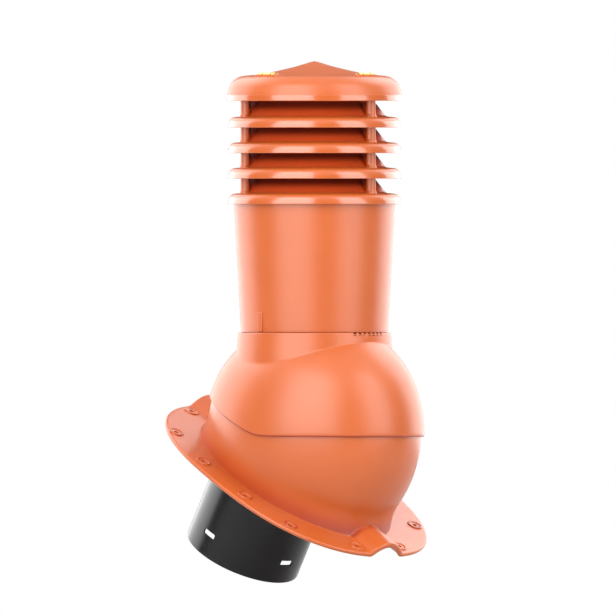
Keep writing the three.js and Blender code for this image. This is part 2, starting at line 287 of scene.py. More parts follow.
def net(points, loop=True):
    """Quads between neighbours of a grid of points whose columns go round. Loop also joins the last row
    to the first."""
    rows, columns = points.shape[:2]
    index = np.arange(rows * columns).reshape(rows, columns)
    index = np.hstack([index, index[:, :1]])
    if loop:
        index = np.vstack([index, index[:1]])
    corners = (index[:-1, :-1], index[:-1, 1:], index[1:, 1:], index[1:, :-1])
    return points.reshape(-1, 3), np.stack(corners, -1).reshape(-1, 4)


def joined(surfaces):
    """Several surfaces as one: points stacked, face numbers moved up by the points before them."""
    counts = [0] + [len(points) for points, _ in surfaces[:-1]]
    points = np.concatenate([points for points, _ in surfaces])
    faces = [faces + start for (_, faces), start in zip(surfaces, np.cumsum(counts))]
    return points, np.concatenate(faces)


def moved(surface, change):
    """A surface whose points go through a change of place."""
    points, faces = surface
    return change(points), faces


def copies_round(surface, angles):
    """Copies of a surface as one, turned about the upright axis by each angle."""
    return joined([moved(surface, lambda points, angle=angle: turned(points, angle)) for angle in angles])


def eased(corners, bend_steps=6, loop=True):
    """An outline of (across, up, ease) corners. Each corner becomes the parabola that leaves and meets
    its two sides at the ease's length from it, and each side carries points near both of its ends."""
    corners = np.asarray(corners, float)
    at, ease = corners[:, :2], corners[:, 2:]

    def short_of(other):
        side = other - at
        length = np.linalg.norm(side, axis=1, keepdims=True)
        return at + side * np.minimum(ease / length, EASE_LIMIT)

    start, end = short_of(np.roll(at, 1, 0)), short_of(np.roll(at, -1, 0))
    share = np.linspace(0, 1, bend_steps + 1)[:, None, None]
    bends = (1 - share) ** 2 * start + 2 * share * (1 - share) * at + share ** 2 * end
    sides = end + SIDE_POINTS[:, None, None] * (np.roll(start, -1, 0) - end)
    outline = np.concatenate([bends, sides]).transpose(1, 0, 2).reshape(-1, 2)
    if not loop:
        outline = outline[:-len(SIDE_POINTS)]
    apart = np.linalg.norm(np.diff(outline, axis=0), axis=1) > CLOSEST_POINTS
    return outline[np.concatenate([[True], apart])]


def raised(corners, height):
    """Outline corners moved up."""
    return np.asarray(corners, float) + (0, height, 0)


def lathe(outline, columns=240, loop=True):
    """An outline of (radius, height) points turned about the upright axis."""
    return net(about_axis(outline[:, :1], full_turn(columns), outline[:, 1:]), loop)


def rounded_outline(half_x, half_y, corner, count=64):
    """A rectangle with round corners: a circle of the corner's radius, its quarters pushed apart."""
    angle = half_step_turn(count)
    cos, sin = np.cos(angle), np.sin(angle)
    x = np.sign(cos) * (half_x - corner) + corner * cos
    y = np.sign(sin) * (half_y - corner) + corner * sin
    return np.stack([x, y], -1)


def block(half_size, corner, columns=48, rows=16):
    """A box with round edges: a sphere of the corner's radius, its eighths pushed apart, ends closed."""
    half = np.asarray(half_size, float)
    around = half_step_turn(columns)
    up = np.linspace(-np.pi / 2, np.pi / 2, rows)[:, None]
    ball = about_axis(np.cos(up), around, np.sin(up))
    points = corner * ball + np.sign(ball) * (half - corner)
    end = np.zeros((1, columns, 3))
    end[..., 2] = half[2]
    return net(np.concatenate([-end, points, end]), loop=False)


def plate(outline, thickness, edge):
    """A flat plate: its (across, up) outline at the rim and, a little smaller, at both faces."""
    middle = outline.mean(0)
    shrunk = middle + (outline - middle) * (1 - edge / np.ptp(outline, axis=0).min() * 2)
    rows = (middle + 0 * outline, shrunk, outline, outline, shrunk, middle + 0 * outline)
    half = thickness / 2
    depths = (half, half, half - edge, edge - half, -half, -half)
    points = [np.stack([row[:, 0], 0 * row[:, 0] + y, row[:, 1]], -1) for row, y in zip(rows, depths)]
    return net(np.stack(points), loop=False)


# Pieces

def added(name, data):
    """A new object of the scene with the given data."""
    obj = bpy.data.objects.new(name, data)
    bpy.context.scene.collection.objects.link(obj)
    return obj


def finished(mesh):
    """Merges doubled points, takes out slivers, and shades the mesh smooth except at sharp bends."""
    work = bmesh.new()
    work.from_mesh(mesh)
    bmesh.ops.remove_doubles(work, verts=work.verts, dist=MERGE_DISTANCE)
    bmesh.ops.dissolve_degenerate(work, edges=work.edges, dist=SLIVER_LENGTH)
    work.to_mesh(mesh)
    work.free()
    mesh.polygons.foreach_set("use_smooth", np.ones(len(mesh.polygons), bool))
    mesh.set_sharp_from_angle(angle=SHARP_BEND)
    return mesh


def mesh_of(name, surface):
    """A finished mesh of a surface's points and faces."""
    points, faces = surface
    mesh = bpy.data.meshes.new(name)
    mesh.from_pydata(points, [], faces.tolist())
    mesh.validate()
    return finished(mesh)


def cut_away(obj, surface):
    """Takes the closed surface's inside away from the object's mesh."""
    tool = added(obj.name + "_cutter", mesh_of("cutter", surface))
    cut = obj.modifiers.new("cut", "BOOLEAN")
    cut.operation = "DIFFERENCE"
    cut.solver = "EXACT"
    cut.object = tool
    bpy.context.view_layer.update()
    made = obj.evaluated_get(bpy.context.evaluated_depsgraph_get())
    mesh = bpy.data.meshes.new_from_object(made)
    obj.modifiers.clear()
    obj.data = finished(mesh)
    bpy.data.objects.remove(tool)


def piece(name, surface, body, material, node=None, cutter=None):
    """An object of the part: shaped, cut by the cutter's surface, and riding on its body."""
    obj = added(name, mesh_of(name, surface))
    if cutter is not None:
        cut_away(obj, cutter)
    obj.data.materials.clear()
    obj.data.materials.append(material)
    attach(obj, body)
    if node:
        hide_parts(node)


# Materials

class Value:
    """A number that varies over a surface: a shader socket whose sums and products add Math nodes."""

    def __init__(self, finish, socket):
        self.finish = finish
        self.socket = socket

    def math(self, operation, first, second=0.0):
        """A Math node on two numbers, either of them fixed or varying."""
        return self.finish.node("ShaderNodeMath", {"operation": operation}, {0: first, 1: second})

    def __add__(self, other):
        return self.math("ADD", self, other)

    def __sub__(self, other):
        return self.math("SUBTRACT", self, other)

    def __rsub__(self, other):
        return self.math("SUBTRACT", other, self)

    def __mul__(self, other):
        return self.math("MULTIPLY", self, other)

    def __truediv__(self, other):
        return self.math("DIVIDE", self, other)

    def __pow__(self, other):
        return self.math("POWER", self, other)

    def __abs__(self):
        return self.math("ABSOLUTE", self)

    __radd__ = __add__
    __rmul__ = __mul__

    def fraction(self):
        """What is left above the whole number below."""
        return self.math("FRACT", self)

    def rise(self, low, high):
        """0 below low, 1 above high, smooth between; falls instead where low is the larger."""
        ends = {"Value": self, "From Min": low, "From Max": high}
        return self.finish.node("ShaderNodeMapRange", {"interpolation_type": "SMOOTHSTEP"}, ends)


class Finish:
    """A node tree being built, and the one method that adds any node to it."""

    def __init__(self, tree):
        self.tree = tree

    def node(self, kind, settings=None, sockets=None, output=0):
        """A node of a kind, with its settings and then its sockets' values or links; gives an output."""
        made = self.tree.nodes.new(kind)
        for name, value in (settings or {}).items():
            setattr(made, name, value)
        for name, value in (sockets or {}).items():
            self.fill(made.inputs[name], value)
        return Value(self, made.outputs[output]) if made.outputs else made

    def fill(self, socket, value):
        """Links a varying value to a socket, or sets a fixed one on it."""
        if isinstance(value, Value):
            self.tree.links.new(value.socket, socket)
        else:
            socket.default_value = value

    def noise(self, where, size, detail=2.0, roughness=0.5):
        """Noise from 0 to 1 whose lumps are about the given size in millimetres."""
        sockets = {"Vector": where, "Scale": METRE / size, "Detail": detail, "Roughness": roughness}
        return self.node("ShaderNodeTexNoise", sockets=sockets)

    def mixed(self, factor, first, second):
        """One colour turning into another as the factor goes from 0 to 1. The Mix node has sockets of
        one name for several kinds of data, so its colour ones are picked by number."""
        sockets = {0: factor, 6: first, 7: second}
        return self.node("ShaderNodeMix", {"data_type": "RGBA"}, sockets, output=2)

    def parts(self, vector):
        """The x, y and z of a vector."""
        split = self.node("ShaderNodeSeparateXYZ", sockets={0: vector}).socket.node
        return [Value(self, socket) for socket in split.outputs]


def colour(red, green, blue):
    """A colour given as 0 to 255 screen values, as the shader's linear values by the screen's curve."""
    screen = np.array((red, green, blue)) / 255
    linear = np.where(screen < 0.04045, screen / 12.92, ((screen + 0.055) / 1.055) ** 2.4)
    return (*linear.tolist(), 1.0)


PIGMENT = colour(179, 83, 30)
PIGMENT_CLOUD = colour(183, 86, 32)
PALE_SPECK = colour(192, 104, 54)
DARK_SPECK = colour(160, 66, 23)
GLOW_RED = colour(186, 58, 20)
GLOOM_RED = colour(84, 14, 6)
PIPE_BLACK = colour(6, 6, 7)
STREAK_BLACK = colour(11, 11, 12)
SPIRIT_LOW = colour(176, 142, 30)
SPIRIT_HIGH = colour(218, 200, 92)
BUBBLE_PALE = colour(228, 224, 196)
BUBBLE_RIM = colour(160, 130, 30)
LINE_BLACK = colour(24, 20, 14)
PLUG_BROWN = colour(158, 96, 40)
FLOOR_GREY = colour(178, 178, 178)
FLOOR_PALE_GREY = colour(181, 181, 181)
WHITE = (1, 1, 1, 1)

# Terracotta's speckle and roughness
SPECK_SHARE = 0.25
PALE_SPECKS = (0.62, 0.8)
DARK_SPECKS = (0.36, 0.2)
EVEN_CLOUDS = (0.3, 0.7)
ROUGHNESS = 0.30
CLOUD_ROUGHNESS = 0.06
SPECK_ROUGHNESS = 0.05
LIP_POLISH = 0.12
LIP_COAT = 0.8

# Where a painted shade or the polish begins and where it is full: throats in ring pitches, the rest from
# millimetres
THROATS_FOOT = (0.2, 0.3)
THROATS_TOP = (4.1, 4.0)
CONE_TOPS = (0.58, 0.86)
CONES_INSIDE = np.array((92.5, 90)) * MM
NECK_INSIDE = np.array((92.5, 91.8)) * MM
NECK_MIDDLE = (COLLAR_TOP - 2) * MM
NECK_REACH = np.array((3.8, 3)) * MM
HEM_REACH = np.array((2.4, 0.8)) * MM
NOTCH_SHADE_TOP = np.array((0.3, 0.8)) * MM
NOTCH_SHADE_FOOT = np.array((4, 3.6)) * MM
NOTCH_INSIDE = np.array((96.6, 96)) * MM
FOOT_SHADE_START = np.array((0.3, 1.5)) * MM
FOOT_SHADE_TOP = np.array((30, 2)) * MM
FOOT_SHADE_ENDS = np.array((157, 150)) * MM
FOOT_DOWNHILL = np.array((0, 120)) * MM
LIPS_OUTSIDE = np.array((108, 108.6)) * MM
LIPS_FOOT = np.array((257, 267)) * MM
LIPS_TOP = np.array((428.1, 427.3)) * MM

# How strong the painted shades are: glow, painted bounce light, turns the pigment redder; gloom, painted
# shade, darker
THROAT_GLOW = 0.7
CONE_TOP_GLOOM = 0.9
NECK_GLOOM = 0.3
HEM_GLOW = 0.9
HEM_GLOOM = 0.4
NOTCH_GLOOM = 0.9
FOOT_GLOW = 0.45
FOOT_GLOW_DOWNHILL = 0.2
FOOT_GLOOM = 0.2
FOOT_GLOOM_DOWNHILL = 0.35

# Vial's markings in millimetres from its middle
BUBBLE_ALONG = 1.5
BUBBLE_HALF_LENGTH_SQUARED = 30
BUBBLE_HALF_WIDTH_SQUARED = 4
BUBBLE_EDGE = (1.0, 0.8)
BUBBLE_RING = (0.6, 0.9)
BUBBLE_UNDERSIDE = (0.5, 1.5)
READING_LINE_AT = 7
READING_LINE_EDGE = (0.75, 0.55)
PLUG_FACE = (13.2, 13.6)
# Heights over which the spirit is painted darker below and lighter above, a painted shade
SPIRIT_SHADE_HEIGHTS = (-3, 3)


def new_material(name, fixed):
    """A material with one plain shader, its fixed values set on the shader's own sockets."""
    material = bpy.data.materials.new(name)
    material.use_nodes = True
    shader = material.node_tree.nodes["Principled BSDF"]
    for socket, value in fixed.items():
        shader.inputs[socket].default_value = value
    finish = Finish(material.node_tree)
    where = finish.node("ShaderNodeTexCoord", output="Object")
    return material, finish, shader, where


def grain(finish, where, size, depth):
    """The moulded skin's fine texture as a surface normal: noise lumps of a size and depth in
    millimetres."""
    height = finish.noise(where, size, detail=3.0, roughness=0.6)
    sockets = {"Height": height, "Strength": 1.0, "Distance": depth * MM}
    return finish.node("ShaderNodeBump", sockets=sockets)


def from_axis(across, aside):
    """Distance from the upright axis."""
    return (across ** 2 + aside ** 2) ** 0.5


def in_throats(across, aside, up):
    """Painted bounce light where light bounces between the louvres' cones, and painted shade where it
    hardly
    reaches: the cones' tops and the groove round the pipe's neck."""
    radius = from_axis(across, aside)
    pitches = (up - PIPE_LIP * MM) / (RING_PITCH * MM)
    among = pitches.rise(*THROATS_FOOT) * pitches.rise(*THROATS_TOP) * radius.rise(*CONES_INSIDE)
    top = pitches.fraction().rise(*CONE_TOPS)
    groove = radius.rise(*NECK_INSIDE) * abs(up - NECK_MIDDLE).rise(*NECK_REACH)
    glow = among * THROAT_GLOW + groove
    gloom = among * top * CONE_TOP_GLOOM + groove * NECK_GLOOM
    return glow, gloom


def at_edges(across, aside, up):
    """Painted shade, redder at the rim, where light hardly reaches on the hood: the lower edge of its
    rim, by the rim's own formula, and inside the collar's notches."""
    back = RIM_BEND_AT * MM - across
    rim = RIM_LEVEL * MM + RIM_SLOPE / 2 * (back + (back ** 2 + (RIM_BEND_LENGTH * MM) ** 2) ** 0.5)
    edge = (up - rim).rise(*HEM_REACH)
    inside = from_axis(across, aside).rise(*NOTCH_INSIDE)
    below = COLLAR_TOP * MM - up
    notches = below.rise(*NOTCH_SHADE_TOP) * below.rise(*NOTCH_SHADE_FOOT) * inside
    glow = edge * HEM_GLOW
    gloom = edge * HEM_GLOOM + notches * NOTCH_GLOOM
    return glow, gloom


def at_foot(across, _aside, up):
    """Painted bounce light and painted shade where light bounces between the lower dome's foot and the
    flange, most in the corner downhill.
    """
    cos, sin = math.cos(ROOF_PITCH), math.sin(ROOF_PITCH)
    above = sin * across + cos * up - FLANGE_TOP * MM
    between_ribs = abs(cos * across - sin * up).rise(*FOOT_SHADE_ENDS)
    near = above.rise(*FOOT_SHADE_START) * above.rise(*FOOT_SHADE_TOP) * between_ribs
    downhill = across.rise(*FOOT_DOWNHILL)
    glow = near * (FOOT_GLOW + FOOT_GLOW_DOWNHILL * downhill)
    gloom = near ** 2 * (FOOT_GLOOM + FOOT_GLOOM_DOWNHILL * downhill)
    return glow, gloom


def terracotta_plastic(name, recesses):
    """Satin moulded terracotta: cloudy pigment, fine speckle, faintly uneven roughness and a fine skin,
    with painted bounce light (redder) and painted shade (darker) in the recesses, and polished on the
    lips."""
    fixed = {"IOR": 1.55, "Specular IOR Level": 0.6, "Coat Roughness": 0.12}
    material, finish, shader, where = new_material(name, fixed)
    clouds = finish.noise(where, size=70, detail=3.0)
    speckle = finish.noise(where, size=1.3)
    warm = finish.mixed(clouds.rise(*EVEN_CLOUDS), PIGMENT, PIGMENT_CLOUD)
    light = finish.mixed(speckle.rise(*PALE_SPECKS) * SPECK_SHARE, warm, PALE_SPECK)
    pigment = finish.mixed(speckle.rise(*DARK_SPECKS) * SPECK_SHARE, light, DARK_SPECK)
    x, y, z = finish.parts(where)
    across, up = x - AXIS[0] * MM, z - AXIS[2] * MM
    # The recesses' masks paint bounce light (glow, redder) and shade (gloom, darker) into the base colour
    glow, gloom = recesses(across, y, up)
    glowing = finish.mixed(glow, pigment, GLOW_RED)
    finish.fill(shader.inputs["Base Color"], finish.mixed(gloom, glowing, GLOOM_RED))
    lips = from_axis(across, y).rise(*LIPS_OUTSIDE) * up.rise(*LIPS_FOOT) * up.rise(*LIPS_TOP)
    finish.fill(shader.inputs["Coat Weight"], lips * LIP_COAT)
    cloudy = ROUGHNESS + CLOUD_ROUGHNESS * finish.noise(where, size=24)
    roughness = cloudy + SPECK_ROUGHNESS * speckle - LIP_POLISH * lips
    finish.fill(shader.inputs["Roughness"], roughness)
    finish.fill(shader.inputs["Normal"], grain(finish, where, size=1.1, depth=0.02))
    return material


def black_plastic():
    """Satin black pipe plastic: faint drawn streaks along its length and a fine skin."""
    fixed = {"IOR": 1.5, "Specular IOR Level": 0.42}
    material, finish, shader, where = new_material("black_plastic", fixed)
    lengthways = finish.node("ShaderNodeMapping", sockets={
        "Vector": where,
        "Rotation": (0, -ROOF_PITCH, 0),
        "Scale": (1, 1, 0.05),
    })
    streaks = finish.noise(lengthways, size=5, detail=3.0)
    shade = finish.mixed(streaks.rise(*EVEN_CLOUDS), PIPE_BLACK, STREAK_BLACK)
    finish.fill(shader.inputs["Base Color"], shade)
    finish.fill(shader.inputs["Roughness"], 0.2 + 0.08 * streaks)
    finish.fill(shader.inputs["Normal"], grain(finish, where, size=1.4, depth=0.015))
    return material


def vial_material(name, angle):
    """Yellow spirit in a glossy tube, painted darker below and lighter above as shade: brown end plugs,
    two black reading lines, and on top a pale oval bubble with a darker rim."""
    fixed = {"IOR": 1.47, "Roughness": 0.08, "Coat Weight": 0.6, "Coat Roughness": 0.04}
    material, finish, shader, where = new_material(name, fixed)
    turn = angle + HEAD_TURN
    radial = np.array((math.cos(turn), math.sin(turn), 0))
    centre = (VIAL_CIRCLE * radial + (0, 0, VIAL_HEIGHT) + AXIS) * MM
    own = finish.node("ShaderNodeMapping", {"vector_type": "TEXTURE"}, {
        "Vector": where,
        "Location": centre.tolist(),
        "Rotation": (0, 0, turn),
        "Scale": (MM, MM, MM),
    })
    across, along, up = finish.parts(own)
    offset = along - BUBBLE_ALONG
    oval = offset * offset / BUBBLE_HALF_LENGTH_SQUARED + across * across / BUBBLE_HALF_WIDTH_SQUARED
    bubble = oval.rise(*BUBBLE_EDGE) * up.rise(*BUBBLE_UNDERSIDE)
    rim = oval.rise(*BUBBLE_RING) * bubble
    lines = abs(abs(along) - READING_LINE_AT).rise(*READING_LINE_EDGE)
    plugs = abs(along).rise(*PLUG_FACE)
    # Painted shade: the spirit darker below and lighter above
    spirit = finish.mixed(up.rise(*SPIRIT_SHADE_HEIGHTS), SPIRIT_LOW, SPIRIT_HIGH)
    filled = finish.mixed(bubble, spirit, BUBBLE_PALE)
    ringed = finish.mixed(rim, filled, BUBBLE_RIM)
    marked = finish.mixed(lines, ringed, LINE_BLACK)
    finish.fill(shader.inputs["Base Color"], finish.mixed(plugs, marked, PLUG_BROWN))
    return material


# Three copies of the terracotta, each with the painted shade and painted bounce light of its own recesses
BASE_TERRACOTTA = terracotta_plastic("base_terracotta", at_foot)
HOOD_TERRACOTTA = terracotta_plastic("hood_terracotta", at_edges)
HEAD_TERRACOTTA = terracotta_plastic("head_terracotta", in_throats)
BLACK = black_plastic()


# Base

def oval_radius(angle, half_x, half_y):
    """Radius of an oval in a direction: one over the length of (cos / half x, sin / half y)."""
    return 1 / np.hypot(np.cos(angle) / half_x, np.sin(angle) / half_y)


def base_radius(angle, z, inset=0.0):
    """The lower dome: a sphere squeezed sideways, flaring as a square law near its foot."""
    radius = BASE_RADIUS - inset
    level = np.sqrt(1 - np.minimum((z / radius) ** 2, 1))
    foot = np.maximum(1 - np.maximum(z - FLANGE_TOP, 0) / FOOT_HEIGHT, 0) ** 2
    half_length = radius * level + FOOT_FLARE_LENGTH * foot
    half_width = (BASE_HALF_WIDTH - inset) * level + FOOT_FLARE_WIDTH * foot
    return oval_radius(angle, half_length, half_width)


def mouth_height(angle, inset):
    """Height where the dome meets the sloped plane of its mouth, found by repeated substitution."""
    z = MOUTH_HEIGHT + 0 * angle
    for _ in range(SUBSTITUTIONS):
        z = MOUTH_HEIGHT + MOUTH_SLOPE * base_radius(angle, z, inset) * np.cos(angle)
    return z


def flange_radius(angle):
    """The flange's outline: a superellipse that reaches a little further downhill."""
    along = np.abs(np.cos(angle) / FLANGE_HALF_LENGTH) ** FLANGE_EXPONENT
    across = np.abs(np.sin(angle) / FLANGE_HALF_WIDTH) ** FLANGE_EXPONENT
    return (along + across) ** (-1 / FLANGE_EXPONENT) + FLANGE_DOWNHILL * np.cos(angle)


def arch(angle, radius, height, half_width):
    """A parabola across the slope's middle line, its feet eased into the flat by a second parabola."""
    across = radius * np.sin(angle) / half_width
    level = height * (1 - across ** 2)
    near = np.maximum(RIB_FOOT_BLEND - np.abs(level), 0) / RIB_FOOT_BLEND
    return np.maximum(level, 0) + near ** 2 * RIB_FOOT_BLEND / 4


def flange_top(angle, radius):
    """The flange's upper face with the rib along the slope."""
    return FLANGE_TOP + arch(angle, radius, RIB_HEIGHT, RIB_HALF_WIDTH)


def flange_under(angle, radius):
    """The flange's lower face with the rib's hollow."""
    return ROOF + arch(angle, radius, RIB_HOLLOW_HEIGHT, RIB_HOLLOW_HALF_WIDTH)


def spigot_hole(angle):
    """Distance from the axis to the round hole for the spigot, whose middle is uphill of the axis."""
    aside = SPIGOT_UPHILL * np.sin(angle)
    return np.sqrt(SPIGOT_HOLE_RADIUS ** 2 - aside ** 2) - SPIGOT_UPHILL * np.cos(angle)


def base_shell():
    """The base as one closed skin. Rows run out under the flange, round its lip, back over its top,
    up the dome, over the mouth and down the inside; columns run round the axis, closest at the ribs."""
    turn = full_turn(BASE_COLUMNS)
    angle = turn - RIB_CROWDING * np.sin(2 * turn)
    foot = base_radius(angle, FLANGE_TOP)
    edge = flange_radius(angle)
    hole = spigot_hole(angle)
    mouth, inner_mouth = mouth_height(angle, 0), mouth_height(angle, BASE_WALL)

    def between(start, end, rows):
        return start + (end - start) * steps(rows)

    def level(radius, height):
        return radius, height + 0 * radius

    under_floor = level(between(hole, foot, rows=5), ROOF)
    under_radius = between(foot, edge - LIP_WIDTH, rows=12)
    under = under_radius, flange_under(angle, under_radius)
    lip_low = flange_under(angle, edge) - LIP_DROP
    lip_high = flange_top(angle, edge)
    hem = level(between(edge - LIP_WIDTH + LIP_DROP, edge - FLANGE_EDGE, rows=3), lip_low)
    bend = np.linspace(-np.pi / 2, np.pi / 2, 11)[1:-1, None]
    lip_radius = edge - FLANGE_EDGE * (1 - np.cos(bend))
    lip = lip_radius, (lip_low + lip_high) / 2 + (lip_high - lip_low) / 2 * np.sin(bend)
    top_radius = between(edge - FLANGE_EDGE, foot, rows=18)
    top = top_radius, flange_top(angle, top_radius)
    climb = FLANGE_TOP + (mouth - FLANGE_TOP) * steps(56)[1:] ** FOOT_CROWDING
    wall_radius = base_radius(angle, climb)
    wall = wall_radius, np.maximum(climb, flange_top(angle, wall_radius))
    drop = between(inner_mouth, FLANGE_TOP, rows=24)
    inside = base_radius(angle, drop, BASE_WALL), drop
    inner_foot = base_radius(angle, FLANGE_TOP, BASE_WALL)
    floor = level(between(inner_foot, hole, rows=5), FLANGE_TOP)

    stretches = (under_floor, under, hem, lip, top, wall, inside, floor)
    radius = np.concatenate([radius for radius, _ in stretches])
    height = np.concatenate([height for _, height in stretches])
    return net(about_axis(radius, angle, height))


def at_bosses(surface):
    """Copies of a surface on the flange's top at the twelve screw places, mirrored over both its axes."""
    signs = np.array([(1, 1), (1, -1), (-1, 1), (-1, -1)])
    centres = (BOSS_PLACES[None] * signs[:, None]).reshape(-1, 2)
    return joined([moved(surface, lambda points, at=at: points + (*at, FLANGE_TOP)) for at in centres])


def screw_boss():
    """A washer-like boss: raised round rim, dished face and a screw hole."""
    return lathe(eased([
        (BOSS_HOLE, -BOSS_SINK, 0.1),
        (BOSS_RADIUS, -BOSS_SINK, 0.1),
        (BOSS_RADIUS - 0.3, BOSS_HEIGHT, 0.9),
        (BOSS_RADIUS - 2.6, BOSS_HEIGHT, 0.9),
        (BOSS_RADIUS - 3.6, 0.5, 0.7),
        (BOSS_HOLE, 0.4, 0.3),
    ], bend_steps=4), columns=48)


def drill():
    """A round cutter for a screw hole."""
    outline = [(0, DRILL_FOOT), (DRILL_RADIUS, DRILL_FOOT), (DRILL_RADIUS, DRILL_TOP), (0, DRILL_TOP)]
    return lathe(np.array(outline, float), columns=24, loop=False)


piece("roof_base_shell", moved(base_shell(), on_roof), "base", BASE_TERRACOTTA,
      "roof_base", moved(at_bosses(drill()), on_roof))
piece("screw_bosses", moved(at_bosses(screw_boss()), on_roof), "base",
      BASE_TERRACOTTA)


# Spigot

def spigot_tube():
    """The spigot: a plain tube with eased ends, hung by a collar at its top."""
    inner = SPIGOT_RADIUS - SPIGOT_WALL
    return lathe(eased([
        (inner, SPIGOT_END, 0.8),
        (SPIGOT_RADIUS, SPIGOT_END, 0.8),
        (SPIGOT_RADIUS, SPIGOT_SEAT, 0.6),
        (SPIGOT_COLLAR_RADIUS, SPIGOT_SEAT, 0.6),
        (SPIGOT_COLLAR_RADIUS, SPIGOT_SEAT + SPIGOT_COLLAR, 0.8),
        (inner, SPIGOT_SEAT + SPIGOT_COLLAR, 0.8),
    ]), columns=200)


def slot_cutters():
    """Four blocks with round corners through the tube's wall, a quarter turn apart, ends closed."""
    outline = rounded_outline(SLOT_HALF_LENGTH, SLOT_HALF_HEIGHT, SLOT_CORNER, 48)
    reach = np.array((SLOT_CUT_FROM, SLOT_CUT_FROM, SLOT_CUT_TO, SLOT_CUT_TO))[:, None]
    size = np.array((0, 1, 1, 0))[:, None]
    across = size * outline[:, 0]
    up = size * outline[:, 1] + SPIGOT_END + SLOT_ABOVE_END
    cutter = net(np.stack([reach + 0 * across, across, up], -1), loop=False)
    return copies_round(cutter, SLOT_ANGLES)


piece("duct_spigot_tube", moved(spigot_tube(), at_spigot), "base", BLACK,
      "duct_spigot", moved(slot_cutters(), at_spigot))


# Hood

def flattening(z, rate):
    """Height added in the round's formula: about zero low down, then growing with height, its bend a
    hyperbola."""
    above = z - FLATTER_ABOVE
    return rate / 2 * (above + np.hypot(above, FLATTER_BEND))


def hood_radius(angle, z, inset=0.0, rate=FLATTER_OUTSIDE):
    """The hood's round: a sphere squeezed sideways about the lower dome's own centre, flatter near its
    top."""
    radius = HOOD_RADIUS - inset
    level = np.sqrt(1 - np.minimum(((z + flattening(z, rate)) / radius) ** 2, 1))
    return oval_radius(angle, radius, HOOD_HALF_WIDTH - inset) * level


def collar_radius(z):
    """The collar's outside: a cone that widens downwards by its draft."""
    return COLLAR_RADIUS + COLLAR_DRAFT * (COLLAR_TOP - z)


def hood_outside(angle, z):
    """The larger of round and collar, their inner corner filled by a parabola over the blend's width."""
    dome, collar = hood_radius(angle, z), collar_radius(z)
    near = np.maximum(CREASE_BLEND - np.abs(dome - collar), 0) / CREASE_BLEND
    return np.maximum(dome, collar) + near ** 2 * CREASE_BLEND / 4


def crease_height(angle):
    """Height where the round meets the collar, found by repeated substitution."""
    z = COLLAR_TOP / 2 + 0 * angle
    for _ in range(SUBSTITUTIONS):
        level = collar_radius(z) / oval_radius(angle, HOOD_RADIUS, HOOD_HALF_WIDTH)
        z = HOOD_RADIUS * np.sqrt(1 - level ** 2) - flattening(z, FLATTER_OUTSIDE)
    return z


def hood_inside(angle, z):
    """The inner round, no narrower than the collar's bore."""
    return np.maximum(hood_radius(angle, z, HOOD_WALL, FLATTER_INSIDE), COLLAR_BORE)


def rim_height(angle):
    """The rim: level on the downhill side, then rising uphill, its bend a hyperbola. Where it meets the
    round is found by repeated substitution."""
    z = RIM_LEVEL + 0 * angle
    for _ in range(SUBSTITUTIONS):
        back = RIM_BEND_AT - hood_radius(angle, z) * np.cos(angle)
        z = RIM_LEVEL + RIM_SLOPE / 2 * (back + np.hypot(back, RIM_BEND_LENGTH))
    return z


def notch_depth(angle):
    """Depth of the reading notches in the collar's top edge, full inside a notch and zero outside."""
    off = np.abs(angle[:, None] - NOTCH_ANGLES).min(1) * COLLAR_RADIUS
    return NOTCH_DEPTH * np.clip((NOTCH_HALF_WIDTH - off) / NOTCH_SIDE + 0.5, 0, 1)


def pointer(angle, z):
    """A small upright pointer on the collar below its notches, just off the downhill line: a soft bump
    by the fourth power across and the eighth power along."""
    across = (angle - POINTER_ANGLE) * COLLAR_RADIUS / POINTER_HALF_WIDTH
    up = (z - POINTER_MIDDLE) / POINTER_HALF_LENGTH
    return POINTER_HEIGHT * np.exp(-across ** 4) * np.exp(-up ** 8)


def hood_shell():
    """The hood as one closed skin. Rows run up the outside from the rim, over the collar's top edge and
    down the inside; columns run round, closer together at the notches and the pointer."""
    even = np.linspace(-np.pi, np.pi, HOOD_COLUMNS, endpoint=False)
    sides = NOTCH_HALF_WIDTH / COLLAR_RADIUS + NOTCH_EDGE_COLUMNS
    at_notches = (NOTCH_ANGLES[:, None] + np.concatenate([-sides, sides])).ravel()
    angle = np.unique(np.concatenate([even, at_notches, POINTER_ANGLE + POINTER_COLUMNS]))
    rim = rim_height(angle)
    notch = notch_depth(angle)
    crease = crease_height(angle)
    rise = steps(HOOD_ROWS)
    edge_depth, edge_inset = COLLAR_EDGE.T[..., None]
    hem_height, hem_share = HOOD_HEM.T[..., None]

    round_z = crease - (crease - rim - OUTSIDE_ABOVE_RIM) * (1 - rise[:-1:2]) ** CREASE_CROWDING
    collar_z = crease + (COLLAR_TOP - edge_depth[0] - crease) * rise[::3] ** CREASE_CROWDING
    outer_z = np.concatenate([round_z, collar_z])
    outer = hood_outside(angle, outer_z) + pointer(angle, outer_z)
    edge_z = COLLAR_TOP - notch - edge_depth
    edge = collar_radius(edge_z) - edge_inset
    inner_drop = rim + INSIDE_ABOVE_RIM - COLLAR_TOP + INSIDE_BELOW_TOP
    inner_z = COLLAR_TOP - INSIDE_BELOW_TOP + inner_drop * rise[::3]
    inner = hood_inside(angle, inner_z)
    hem_outer, hem_inner = hood_outside(angle, rim), hood_inside(angle, rim)
    hem = hem_outer + (hem_inner - hem_outer) * hem_share

    radius = np.concatenate([outer, edge, inner, hem])
    height = np.concatenate([outer_z, edge_z, inner_z, rim + hem_height])
    return net(about_axis(radius, angle, height))


def pipe_seat():
    """The ledge inside the collar that carries the pipe's foot."""
    return lathe(eased([
        (SEAT_OUTER_RADIUS, SEAT_OUTER_FOOT, 0.3),
        (SEAT_OUTER_RADIUS, SEAT_TOP, 0.3),
        (SEAT_INNER_RADIUS, SEAT_TOP, 0.5),
        (SEAT_INNER_RADIUS, SEAT_INNER_FOOT, 0.5),
    ], bend_steps=3), columns=160)


piece("tilt_hood_shell", moved(joined([hood_shell(), pipe_seat()]), upright), "head",
      HOOD_TERRACOTTA, "tilt_hood")


# Pipe and louvre rings

